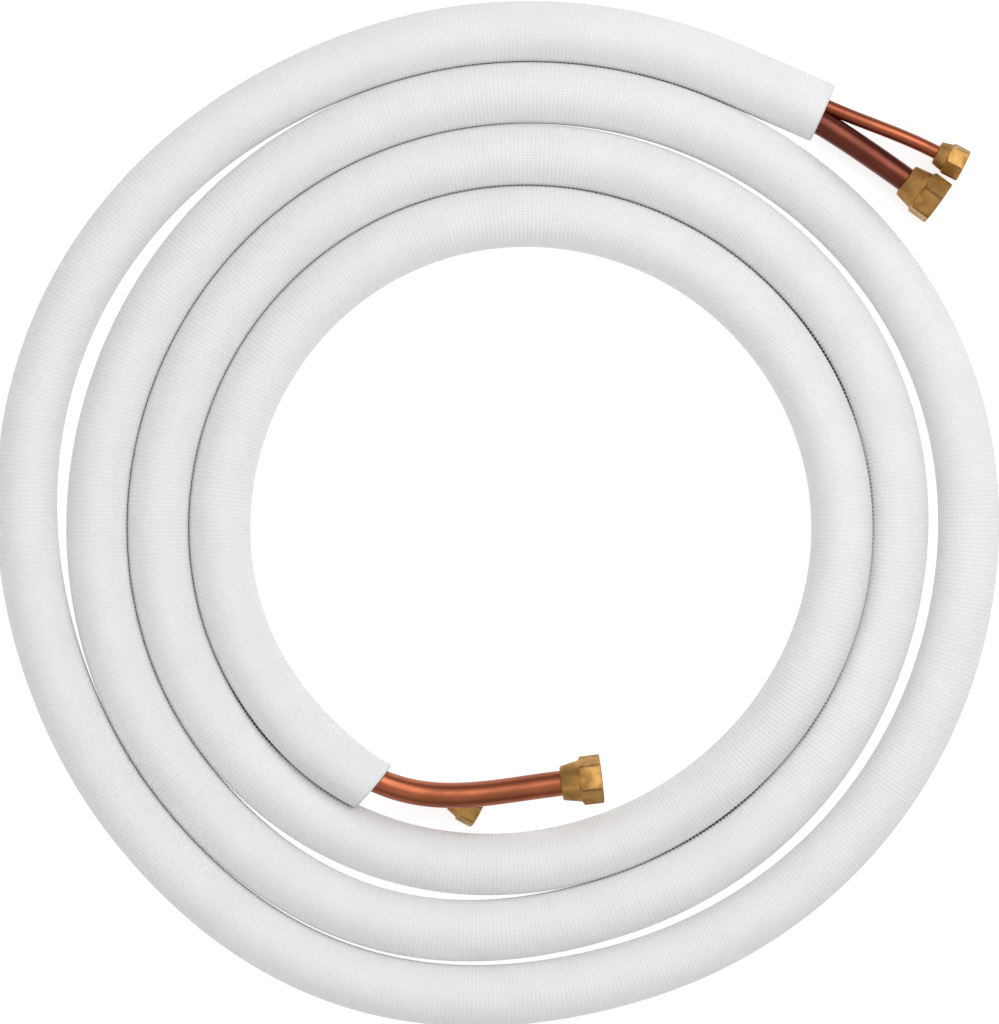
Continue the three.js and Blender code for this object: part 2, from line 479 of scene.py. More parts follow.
@dataclass(frozen=True)
class Rise:
    """A smooth rise and fall around one place on the coil."""

    at: float
    spread: float
    size: float

    def height(self, turned: np.ndarray) -> np.ndarray:
        """Millimetres of rise at each place."""
        away = np.minimum(1.0, np.abs(turned - self.at) / self.spread)
        return 0.5 * self.size * (1.0 + np.cos(np.pi * away))


@dataclass(frozen=True)
class Oval:
    """How far the turns are from round, as lobes around the coil."""

    lobes: int
    size: float
    azimuth: float


@dataclass(frozen=True)
class CoilRoute:
    """The sleeve's centre line: a flat spiral whose turns lie against each other."""

    sweep: float = 1274.4
    inner_azimuth: float = 245.4
    inner_radius: float = 160.15
    turn_spacing: float = SLEEVE_OD / math.cos(math.pi / SLEEVE_SIDES) + TURN_GAP
    half_height: float = SLEEVE_OD / 2
    bore_shift: float = 2.0
    chord_inset: float = 0.9961
    ovals: tuple[Oval, ...] = (Oval(1, 10.74, -47.5), Oval(2, 2.49, 38.9), Oval(3, 1.18, -4.7))
    turn_gaps: tuple[Rise, ...] = (Rise(713, 34, 4.4), Rise(985, 127, 5.6), Rise(1167, 54, 7.9))
    ride_over: Rise = Rise(260, 60, 14)
    inner_end_rise: Rise = Rise(0, 40, 11)
    spring_span: float = 11.4
    spring_size: float = 5.4
    inner_roll: float = -90.0
    outer_roll: float = 0.0
    step: float = 0.25

    def lift(self, turned: np.ndarray) -> np.ndarray:
        """Millimetres by which the sleeve is raised off the floor."""
        return self.ride_over.height(turned) + self.inner_end_rise.height(turned)

    def seat(self, raised: np.ndarray) -> np.ndarray:
        """Level distance between two touching turns, one raised over the other."""
        return np.sqrt(self.turn_spacing**2 - raised**2)

    def radius(self, turned: np.ndarray) -> np.ndarray:
        """Distance of the centre line from the coil's middle.

        Args:
            turned: Degrees turned from the inner end.

        Returns:
            Millimetres.
        """
        azimuth = self.inner_azimuth - turned
        whole = np.maximum(0.0, np.floor(turned / FULL_TURN))
        first = turned - FULL_TURN * whole
        radius = self.inner_radius + self.turn_spacing * first / FULL_TURN
        for oval in self.ovals:
            radius = radius + oval.size * np.cos(oval.lobes * np.radians(azimuth - oval.azimuth))
        radius = radius + self.turn_spacing - self.seat(self.inner_end_rise.height(first))
        for turn in range(int(self.sweep // FULL_TURN) + 1):
            inside = first + FULL_TURN * turn
            outside = inside + FULL_TURN
            step = self.seat(self.lift(outside) - self.lift(inside))
            for gap in self.turn_gaps:
                step = step + gap.height(outside)
            radius = radius + np.where(inside < turned - 1.0, step, 0.0)
        sprung = np.maximum(0.0, turned - self.sweep + self.spring_span) / self.spring_span
        return radius + self.spring_size * sprung**2

    def centre(self, turned: np.ndarray) -> np.ndarray:
        """Points of the centre line, one row of X, Y and Z for each place, in millimetres."""
        azimuth = np.radians(self.inner_azimuth - turned)
        radius = self.radius(turned) * self.chord_inset
        height = self.half_height + self.lift(turned)
        return np.column_stack([radius * np.cos(azimuth), radius * np.sin(azimuth), height])

    def along(self, turned: np.ndarray) -> np.ndarray:
        """Level directions in which the turned angle grows."""
        ahead = self.centre(turned + 0.5) - self.centre(turned - 0.5)
        ahead[:, 2] = 0.0
        return ahead / np.linalg.norm(ahead, axis=1, keepdims=True)

    def outward(self, turned: np.ndarray) -> np.ndarray:
        """Level directions away from the coil's middle."""
        along = self.along(turned)
        return np.column_stack([-along[:, 1], along[:, 0], np.zeros(len(along))])

    def places(self) -> np.ndarray:
        """Closely spaced places from the inner end to the outer end."""
        return np.linspace(0.0, self.sweep, round(self.sweep / self.step) + 1)

    def pipe_centre(self, turned: np.ndarray, from_bore: float) -> np.ndarray:
        """Points of a pipe's centre line inside the sleeve.

        Args:
            turned: Degrees turned from the inner end.
            from_bore: Millimetres from the middle of the sleeve's bore.

        Returns:
            One row for each place, in millimetres.
        """
        share = turned / self.sweep
        roll = np.radians(self.inner_roll + (self.outer_roll - self.inner_roll) * share)
        sideways = from_bore * np.cos(roll) - self.bore_shift
        points = self.centre(turned) + self.outward(turned) * sideways[:, None]
        points[:, 2] += from_bore * np.sin(roll)
        return points


ROUTE = CoilRoute()


def run_length(points: np.ndarray) -> np.ndarray:
    """Length along a row of points, from the first one to each."""
    steps = np.linalg.norm(np.diff(points, axis=0), axis=1)
    return np.concatenate([[0.0], np.cumsum(steps)])


# Modelling steps


def deselect() -> None:
    """Leaves edit mode and selects nothing."""
    if bpy.context.mode != "OBJECT":
        bpy.ops.object.mode_set(mode="OBJECT")
    bpy.ops.object.select_all(action="DESELECT")


def take(piece: bpy.types.Object) -> None:
    """Selects one piece alone and makes it the active one."""
    deselect()
    piece.select_set(True)
    bpy.context.view_layer.objects.active = piece


def positions(piece: bpy.types.Object) -> np.ndarray:
    """A piece's points, one row for each."""
    flat = np.empty(len(piece.data.vertices) * 3)
    piece.data.vertices.foreach_get("co", flat)
    return flat.reshape(-1, 3)


def edit_all(piece: bpy.types.Object) -> None:
    """Opens a piece in edit mode with all of it selected."""
    take(piece)
    bpy.ops.object.mode_set(mode="EDIT")
    bpy.ops.mesh.select_all(action="SELECT")


def move_points(piece: bpy.types.Object, points: np.ndarray) -> None:
    """Puts a piece's points in new places."""
    piece.data.vertices.foreach_set("co", points.ravel())
    piece.data.update()


def paint_number(piece: bpy.types.Object, name: str, values: np.ndarray) -> None:
    """Stores one number on each point under a name that a material reads."""
    piece.data.attributes.new(name, "FLOAT", "POINT").data.foreach_set("value", values)


def paint_place(piece: bpy.types.Object) -> None:
    """Stores where each point lies now, in millimetres, before the piece is bent or placed."""
    values = (positions(piece) / MM).ravel()
    made = piece.data.attributes.new(WORKED_PLACE, "FLOAT_VECTOR", "POINT")
    made.data.foreach_set("vector", values)


def finish_modifier(piece: bpy.types.Object, kind: str, **settings: Any) -> None:
    """Adds one modifier and applies it.

    Args:
        piece: The piece it works on.
        kind: The modifier's type.
        settings: The modifier's settings.
    """
    take(piece)
    modifier = piece.modifiers.new(kind.lower(), kind)
    for name, value in settings.items():
        setattr(modifier, name, value)
    bpy.ops.object.modifier_apply(modifier=modifier.name)


def repeat(piece: bpy.types.Object, count: int, step: float) -> None:
    """Repeats one step of a straight run along +X and welds the copies.

    Args:
        piece: The step.
        count: How many there are in all.
        step: Its length in metres.
    """
    finish_modifier(
        piece, "ARRAY", count=count, use_relative_offset=False, use_constant_offset=True,
        constant_offset_displace=(step, 0.0, 0.0), use_merge_vertices=True,
        merge_threshold=0.01 * MM,
    )


def add_ring(
    name: str, sides: int, radius: float, at: float = 0.0, axis: Vector = ALONG
) -> bpy.types.Object:
    """Adds an open ring of points around an axis.

    Args:
        name: The piece's name.
        sides: Points around it.
        radius: Its radius in metres.
        at: Its place along the axis in metres.
        axis: The axis, which is ALONG or UP.

    Returns:
        The piece, left in edit mode with the whole ring selected.
    """
    deselect()
    rotation = (0.0, 0.0, 0.0) if axis is UP else (0.0, math.pi / 2, 0.0)
    bpy.ops.mesh.primitive_circle_add(vertices=sides, radius=radius, rotation=rotation)
    piece = bpy.context.object
    piece.name = name
    bpy.ops.object.transform_apply(location=True, rotation=True, scale=True)
    edit_all(piece)
    bpy.ops.transform.translate(value=tuple(axis * at))
    return piece


def draw_out(rings: Sequence[Ring], unit: float = MM, axis: Vector = ALONG) -> None:
    """Draws the selected ring out into one new ring after another, and leaves edit mode.

    Args:
        rings: Radius and place along the axis, of the selected ring and then of each new one.
        unit: What they are counted in, in metres.
        axis: The axis that the rings lie around.
    """
    for (radius, at), (wanted, ahead) in zip(rings, rings[1:]):
        step = axis * ((ahead - at) * unit)
        bpy.ops.mesh.extrude_edges_move(TRANSFORM_OT_translate={"value": tuple(step)})
        grow = wanted / radius
        if grow != 1.0:
            centre = tuple(axis * (ahead * unit))
            bpy.ops.transform.resize(value=(grow, grow, grow), center_override=centre)
    bpy.ops.object.mode_set(mode="OBJECT")


def face_outwards(piece: bpy.types.Object) -> None:
    """Makes a closed piece's faces point outwards."""
    edit_all(piece)
    bpy.ops.mesh.normals_make_consistent(inside=False)
    bpy.ops.object.mode_set(mode="OBJECT")


def weld(piece: bpy.types.Object, reach: float) -> None:
    """Closes a piece by welding the points that coincide, and makes its faces point outwards.

    Args:
        piece: The piece.
        reach: How near two points are when they are one, in millimetres.
    """
    edit_all(piece)
    bpy.ops.mesh.remove_doubles(threshold=reach * MM)
    face_outwards(piece)


def join(parts: Sequence[bpy.types.Object], reach: float) -> bpy.types.Object:
    """Joins parts into the first one and welds them into one closed piece.

    Args:
        parts: The parts.
        reach: How near two points are when they are one, in millimetres.

    Returns:
        The first part.
    """
    deselect()
    for part in parts:
        part.select_set(True)
    bpy.context.view_layer.objects.active = parts[0]
    bpy.ops.object.join()
    weld(parts[0], reach)
    return parts[0]


def bend_along(piece: bpy.types.Object, points: np.ndarray) -> None:
    """Bends a straight piece that lies along +X onto a route.

    Args:
        piece: The straight piece, whose X is the length along the route.
        points: The route's points in metres.
    """
    curve = bpy.data.curves.new("route", "CURVE")
    curve.dimensions = "3D"
    curve.twist_mode = "Z_UP"
    spline = curve.splines.new("POLY")
    spline.points.add(len(points) - 1)
    spline.points.foreach_set("co", np.column_stack([points, np.ones(len(points))]).ravel())
    guide = bpy.data.objects.new("route", curve)
    bpy.context.scene.collection.objects.link(guide)
    finish_modifier(piece, "CURVE", object=guide, deform_axis="POS_X")
    bpy.data.objects.remove(guide)
    bpy.data.curves.remove(curve)


def smooth_but_for(piece: bpy.types.Object, angle: float) -> None:
    """Shades a piece smooth, but for edges sharper than an angle in degrees."""
    take(piece)
    bpy.ops.object.shade_smooth_by_angle(angle=math.radians(angle))


def settle(piece: bpy.types.Object, body: str, node: str, finish: bpy.types.Material) -> None:
    """Dresses a finished piece, lets it ride on its body and stand for its node.

    Args:
        piece: The finished piece.
        body: The body it moves with.
        node: The solid it stands for.
        finish: Its material.
    """
    piece.data.materials.clear()
    piece.data.materials.append(finish)
    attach(piece, body)
    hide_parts(node)
    faces = len(piece.data.polygons)
    LOG.info("%s stands for %s on %s, with %d faces", piece.name, node, body, faces)


# The foam sleeve


@dataclass
class FoamSleeve:
    """The white foam tube around both pipes, with its embossed skin, its bore and its cut ends."""

    bead: float = 2.4
    half_width: float = 17.46
    half_height: float = 17.05
    rib_depth: float = 0.17
    bore_radius: float = 10.1
    upper_sides: int = 14
    lower_sides: int = 8
    beads_per_bore_step: int = 10
    weld_reach: float = 0.12
    face_margin: float = 0.3
    skin_depth: float = 2.0
    crease_depth: float = 1.0
    crease_reach: float = 0.02
    end_rounding: tuple[tuple[float, float], ...] = ((0.25, 0.0), (0.55, 0.12), (0.85, 0.42), (1.0, 1.0))
    end_round: float = 1.3
    press_gap: float = 0.03
    press_reach: float = 0.5
    floor_gap: float = 0.03
    slack_end: float = 2.4
    pinch_span: float = 62.0
    pinch: float = 0.125
    slant_span: float = 42.0
    slant: float = 0.24
    pipe_side: float = -8.45
    skin: FoamSkin = field(default_factory=FoamSkin)

    @property
    def valley(self) -> float:
        """Radius of the skin between two ribs."""
        return self.half_width - self.rib_depth

    def angles(self) -> np.ndarray:
        """Angles of the section's points from the top, closer together over the upper half."""
        upper = np.linspace(-np.pi / 2, np.pi / 2, self.upper_sides + 1)
        lower = np.linspace(np.pi / 2, 1.5 * np.pi, self.lower_sides + 1)[1:-1]
        return np.concatenate([upper, lower])

    def section(self, name: str, radius: float, x: float) -> bpy.types.Object:
        """Adds the ring that every part of the sleeve starts from.

        Args:
            name: The part's name.
            radius: Its radius in millimetres.
            x: Where it lies along the straight sleeve, in millimetres.

        Returns:
            The ring, in edit mode with all of it selected.
        """
        angles = self.angles()
        ring = add_ring(name, len(angles), radius * MM)
        bpy.ops.object.mode_set(mode="OBJECT")
        across = radius * MM * np.sin(angles)
        above = radius * MM * np.cos(angles)
        move_points(ring, np.column_stack([np.full(len(angles), x * MM), across, above]))
        edit_all(ring)
        return ring

    def run(self, name: str, rings: Sequence[Ring], count: int) -> bpy.types.Object:
        """Models one step of the straight sleeve and repeats it.

        Args:
            name: The run's name.
            rings: The step's rings in millimetres, from X = 0.
            count: How many steps there are.

        Returns:
            The straight run.
        """
        run = self.section(name, rings[0][0], 0.0)
        draw_out(rings)
        repeat(run, count, rings[-1][1] * MM)
        return run

    def cut_end(self, start: float, direction: float) -> bpy.types.Object:
        """Models a cut end: a softly rounded rim and a flat face in to the bore.

        Args:
            start: Where the ribbed skin ends, in millimetres.
            direction: -1 for the end at X = 0 and 1 for the other.

        Returns:
            The end.
        """
        end = self.section("sleeve_end", self.valley, start)
        rings = [(self.valley, start)]
        for out, shrink in self.end_rounding:
            rings.append((self.valley - self.end_round * shrink, start + direction * self.end_round * out))
        rim, face = rings[-1]
        rings += [(0.5 * (rim + self.bore_radius), face), (self.bore_radius, face)]
        draw_out([*rings, (self.bore_radius, start)])
        return end

    def press(self, sleeve: bpy.types.Object, lengths: np.ndarray, places: np.ndarray) -> None:
        """Flattens the straight sleeve where it will lie against its own turns and the floor.

        Args:
            sleeve: The straight sleeve.
            lengths: Length along the route at each place, in millimetres.
            places: Degrees turned at each of those lengths.
        """
        points = positions(sleeve) / MM
        radial = np.hypot(points[:, 1], points[:, 2])
        outer = radial > 0.5 * (self.half_width + self.bore_radius)
        bore = ~outer & (radial < self.bore_radius + 0.01)
        points[:, 2] *= np.where(outer, self.half_height / self.half_width, 1.0)
        turned = np.interp(points[:, 0], lengths, places)
        here = ROUTE.centre(turned)
        outward = ROUTE.outward(turned)
        # How near each point comes to the next turn, kept for the painted shade in the crease between turns
        contact_shade = np.zeros(len(points))
        for side in (-FULL_TURN, FULL_TURN):
            beside = turned + side
            exists = outer & (beside >= 0.0) & (beside <= ROUTE.sweep)
            apart = ROUTE.centre(np.clip(beside, 0.0, ROUTE.sweep)) - here
            level = np.einsum("ij,ij->i", apart, outward)
            reach = np.where(exists, np.hypot(level, apart[:, 2]), 1.0)
            level, above = level / reach, apart[:, 2] / reach
            over = points[:, 1] * level + points[:, 2] * above - 0.5 * (reach - self.press_gap)
            over = np.where(exists, over, -self.press_reach)
            marked = np.clip(1.0 + over / self.press_reach, 0.0, 1.0)
            contact_shade = np.maximum(contact_shade, np.where(beside < self.slack_end, 0.0, marked))
            pressed = np.maximum(0.0, over)
            points[:, 1] -= pressed * level
            points[:, 2] -= pressed * above
        lowest = self.floor_gap - here[:, 2]
        points[:, 2] = np.where(outer, np.maximum(points[:, 2], lowest), points[:, 2])
        points[:, 1] -= np.where(bore, ROUTE.bore_shift, 0.0)
        self.pinch_inner_end(points, bore)
        move_points(sleeve, points * MM)
        paint_number(sleeve, CONTACT_SHADE, contact_shade)

    def pinch_inner_end(self, points: np.ndarray, bore: np.ndarray) -> None:
        """Narrows the inner end of the straight sleeve and cuts its face at a slant.

        Args:
            points: The sleeve's points in millimetres, which are changed.
            bore: Which of them are on the bore's wall.
        """
        pinch = self.pinch * np.clip(1.0 - points[:, 0] / self.pinch_span, 0.0, 1.0) ** 2
        slant = self.slant * np.clip(1.0 - points[:, 0] / self.slant_span, 0.0, 1.0) ** 2
        points[:, 0] += slant * points[:, 1]
        points[:, 1] += pinch * (self.half_width - points[:, 1])
        clear = bore & (pinch > 0.0)
        points[:, 1] = np.where(clear, np.maximum(points[:, 1], self.pipe_side), points[:, 1])

    def build(self) -> None:
        """Builds the whole sleeve and bends it into the coil."""
        places = ROUTE.places()
        route = ROUTE.centre(places)
        lengths = run_length(route)
        steps = round(lengths[-1] / self.bead / self.beads_per_bore_step)
        count = self.beads_per_bore_step * steps
        finish = lengths[-1] - 2.0 * self.end_round
        bead = finish / count
        skin = [(self.valley, 0.0), (self.half_width, 0.5 * bead), (self.valley, bead)]
        bore = [(self.bore_radius, 0.0), (self.bore_radius, bead * count / steps)]
        parts = [
            self.run("foam_sleeve", skin, count),
            self.run("sleeve_bore", bore, steps),
            self.cut_end(0.0, -1.0),
            self.cut_end(finish, 1.0),
        ]
        sleeve = join(parts, self.weld_reach)
        points = positions(sleeve)
        margin = self.face_margin
        ends = (points[:, 0] < -margin * MM) | (points[:, 0] > (finish + margin) * MM)
        radial = np.hypot(points[:, 1], points[:, 2])
        inside = radial < (self.half_width - self.skin_depth) * MM
        paint_number(sleeve, CUT_FACE, (ends | inside).astype(float))
        paint_place(sleeve)
        self.mark_creases(sleeve, bead)
        points[:, 0] += self.end_round * MM
        move_points(sleeve, points)
        self.press(sleeve, lengths, places)
        bend_along(sleeve, route * MM)
        settle(sleeve, "line", "insulation_sleeve", self.skin.make(bead))

    def mark_creases(self, sleeve: bpy.types.Object, bead: float) -> None:
        """Shades the skin smooth, but for the crease between one rib and the next.

        Args:
            sleeve: The straight sleeve.
            bead: Millimetres from one rib to the next.
        """
        mesh = sleeve.data
        mesh.shade_smooth()
        points = positions(sleeve) / MM
        step = points[:, 0] / bead
        valley = np.abs(step - np.round(step)) < self.crease_reach
        valley &= np.hypot(points[:, 1], points[:, 2]) > self.half_width - self.crease_depth
        ends = np.empty(len(mesh.edges) * 2, dtype=np.int64)
        mesh.edges.foreach_get("vertices", ends)
        ends = ends.reshape(-1, 2)
        crease = valley[ends].all(axis=1)
        mesh.attributes.new("sharp_edge", "BOOLEAN", "EDGE").data.foreach_set("value", crease)


# The nuts and the places they hold


@dataclass(frozen=True)
class NutSize:
    """Sizes of a flare nut, in millimetres above its back face where they are heights."""

    flats: float
    length: float
    hex_length: float
    neck_back: float
    neck_front: float
    back_round: float
    thread: float
    thread_depth: float
    major: float
    pitch: float
    pipe: float
    clearance: float = CLEARANCE
    flare_gap: float = 0.4
    bore_lip: float = 0.4
    chamfer_slope: float = 0.6
    mouth_chamfer: float = 0.5

    @property
    def corner(self) -> float:
        """From the axis to a corner of the hexagon."""
        return self.flats / 2 / math.cos(math.pi / 6)

    @property
    def bore(self) -> float:
        """Radius of the hole for the pipe."""
        return self.pipe / 2 + self.clearance

    @property
    def cone_end(self) -> float:
        """Height at which the thread's hole begins."""
        return self.length - self.thread_depth

    @property
    def cone_start(self) -> float:
        """Height at which the cone leaves the pipe's hole."""
        return self.cone_end - (self.thread / 2 - self.bore)

    @property
    def flare_radius(self) -> float:
        """Radius of the pipe's flare."""
        return self.thread / 2 - self.flare_gap

    @property
    def flare_start(self) -> float:
        """Height at which the pipe begins to flare."""
        return self.cone_start + self.clearance * (math.sqrt(2) - 1)


@dataclass(frozen=True)
class NutPlace:
    """Where a nut's back face lies, and which way its mouth points."""

    origin: Vector
    axis: Vector
    spin: float

    def matrix(self) -> Matrix:
        """The nut's own axes and place, in metres."""
        aside = UP.cross(self.axis).normalized()
        top = self.axis.cross(aside)
        top.rotate(Matrix.Rotation(math.radians(self.spin), 3, self.axis))
        side = self.axis.cross(top)
        turned = Matrix((top, side, self.axis)).transposed().to_4x4()
        return Matrix.Translation(self.origin) @ turned


NUT_SIZES = {
    PipeKind.SUCTION: NutSize(24, 23, 12.4, 19.6, 23.4, 1.1, 17.4, 13, 19.05, 1.5875, SUCTION_OD),
    PipeKind.LIQUID: NutSize(17, 17, 10.6, 13.8, 16.5, 0.9, 9.9, 9, 11.11, 1.27, LIQUID_OD),
}

NUT_SPINS = {
    (PipeKind.SUCTION, CoilEnd.OUTER): 22.0,
    (PipeKind.LIQUID, CoilEnd.OUTER): -14.0,
    (PipeKind.SUCTION, CoilEnd.INNER): -8.0,
    (PipeKind.LIQUID, CoilEnd.INNER): 10.0,
}


def nut_places(joints: Sequence[Mapping[str, Any]]) -> dict[tuple[PipeKind, CoilEnd], NutPlace]:
    """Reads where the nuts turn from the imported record's joints.

    Args:
        joints: The record's joints.

    Returns:
        A place for each pipe and end.
    """
    by_name = {joint["name"]: joint for joint in joints}
    places = {}
    for key, spin in NUT_SPINS.items():
        kind, end = key
        joint = by_name[f"{kind.value}_{end.value}_spin"]
        places[key] = NutPlace(Vector(joint["pos_m"]), Vector(joint["axis"]).normalized(), spin)
    return places


@dataclass
class FlareNut:
    """A brass flare nut: a turned neck, a hexagon, and a threaded mouth."""

    kind: PipeKind
    end: CoilEnd
    place: NutPlace
    finish: bpy.types.Material
    sides: int = 64
    edge_width: float = 0.22
    edge_angle: float = 24.0
    smooth_angle: float = 28.0
    weld_reach: float = 0.005
    bar_spare: float = 2.0
    thread_steps: int = 40
    thread_inset: float = 1.0
    thread_runout: float = 0.6
    ridge_sink: float = 0.12
    ridge_half: float = 0.43

    @property
    def size(self) -> NutSize:
        """The nut's sizes."""
        return NUT_SIZES[self.kind]

    def turned_blank(self) -> bpy.types.Object:
        """Turns the blank from rings drawn out one after another.

        Returns:
            The closed blank, around +Z, with its back face at Z = 0.
        """
        size = self.size
        hex_start = size.length - size.hex_length
        corner_rise = (size.corner - size.neck_front / 2) * size.chamfer_slope
        lip = size.mouth_chamfer
        profile = [
            (size.bore, size.bore_lip),
            (size.bore + size.bore_lip, 0.0),
            (size.neck_back / 2 - size.back_round, 0.0),
            (size.neck_back / 2 - 0.3 * size.back_round, 0.3 * size.back_round),
            (size.neck_back / 2, size.back_round),
            (size.neck_front / 2, hex_start),
            (size.corner, hex_start + corner_rise),
            (size.corner, size.length - lip),
            (size.corner - 2.0 * lip, size.length),
            (size.thread / 2 + 1.6 * lip, size.length),
            (size.thread / 2, size.length - 1.6 * lip),
            (size.thread / 2, size.cone_end),
            (size.bore, size.cone_start),
            (size.bore, size.bore_lip),
        ]
        radius, height = profile[0]
        name = f"flare_nut_{self.kind.value}_{self.end.value}"
        blank = add_ring(name, self.sides, radius * MM, height * MM, UP)
        draw_out(profile, axis=UP)
        weld(blank, self.weld_reach)
        return blank

    def hexagon(self) -> bpy.types.Object:
        """The hexagonal bar that the blank is milled to."""
        deselect()
        middle = 0.5 * self.size.length * MM
        bpy.ops.mesh.primitive_cylinder_add(
            vertices=6, radius=self.size.corner * MM, depth=(self.size.length + self.bar_spare) * MM,
            location=(0.0, 0.0, middle),
        )
        bpy.ops.object.transform_apply(location=True, rotation=True, scale=True)
        return bpy.context.object

    def tap(self) -> bpy.types.Object:
        """The helical ridge that cuts the thread.

        Returns:
            A closed coil of triangular section.
        """
        size = self.size
        turns = round((size.thread_depth - self.thread_inset) / size.pitch)
        start = size.length + self.thread_runout * size.pitch - turns * size.pitch
        root = size.thread / 2 - self.ridge_sink
        deselect()
        bpy.ops.mesh.primitive_circle_add(vertices=3, radius=size.pitch * MM, fill_type="NOTHING")
        tap = bpy.context.object
        half = self.ridge_half * size.pitch
        corners = [(root, start - half), (size.major / 2, start), (root, start + half)]
        move_points(tap, np.array([(radius * MM, 0.0, height * MM) for radius, height in corners]))
        finish_modifier(
            tap, "SCREW", axis="Z", angle=math.tau, screw_offset=size.pitch * MM, iterations=turns,
            steps=self.thread_steps, render_steps=self.thread_steps, use_smooth_shade=False,
        )
        bpy.ops.object.mode_set(mode="EDIT")
        bpy.ops.mesh.select_all(action="DESELECT")
        bpy.ops.mesh.select_mode(type="EDGE")
        bpy.ops.mesh.select_non_manifold(extend=False, use_wire=False, use_boundary=True,
                                         use_multi_face=False, use_non_contiguous=False,
                                         use_verts=False)
        bpy.ops.mesh.edge_face_add()
        bpy.ops.mesh.select_mode(type="VERT")
        bpy.ops.object.mode_set(mode="OBJECT")
        face_outwards(tap)
        return tap

    def cut(self, nut: bpy.types.Object, tool: bpy.types.Object, operation: str) -> None:
        """Cuts the nut with another solid, which is used up.

        Args:
            nut: The nut.
            tool: The other solid.
            operation: INTERSECT or DIFFERENCE.
        """
        finish_modifier(nut, "BOOLEAN", object=tool, operation=operation, solver="EXACT")
        bpy.data.objects.remove(tool)

    def build(self) -> None:
        """Builds the nut in its place."""
        nut = self.turned_blank()
        self.cut(nut, self.hexagon(), "INTERSECT")
        finish_modifier(
            nut, "BEVEL", width=self.edge_width * MM, segments=2, limit_method="ANGLE",
            angle_limit=math.radians(self.edge_angle), use_clamp_overlap=True, harden_normals=False,
        )
        self.cut(nut, self.tap(), "DIFFERENCE")
        paint_place(nut)
        nut.data.transform(self.place.matrix())
        smooth_but_for(nut, self.smooth_angle)
        name = f"{self.kind.value}_nut_{self.end.value}"
        settle(nut, name, name, self.finish)


# The copper pipes


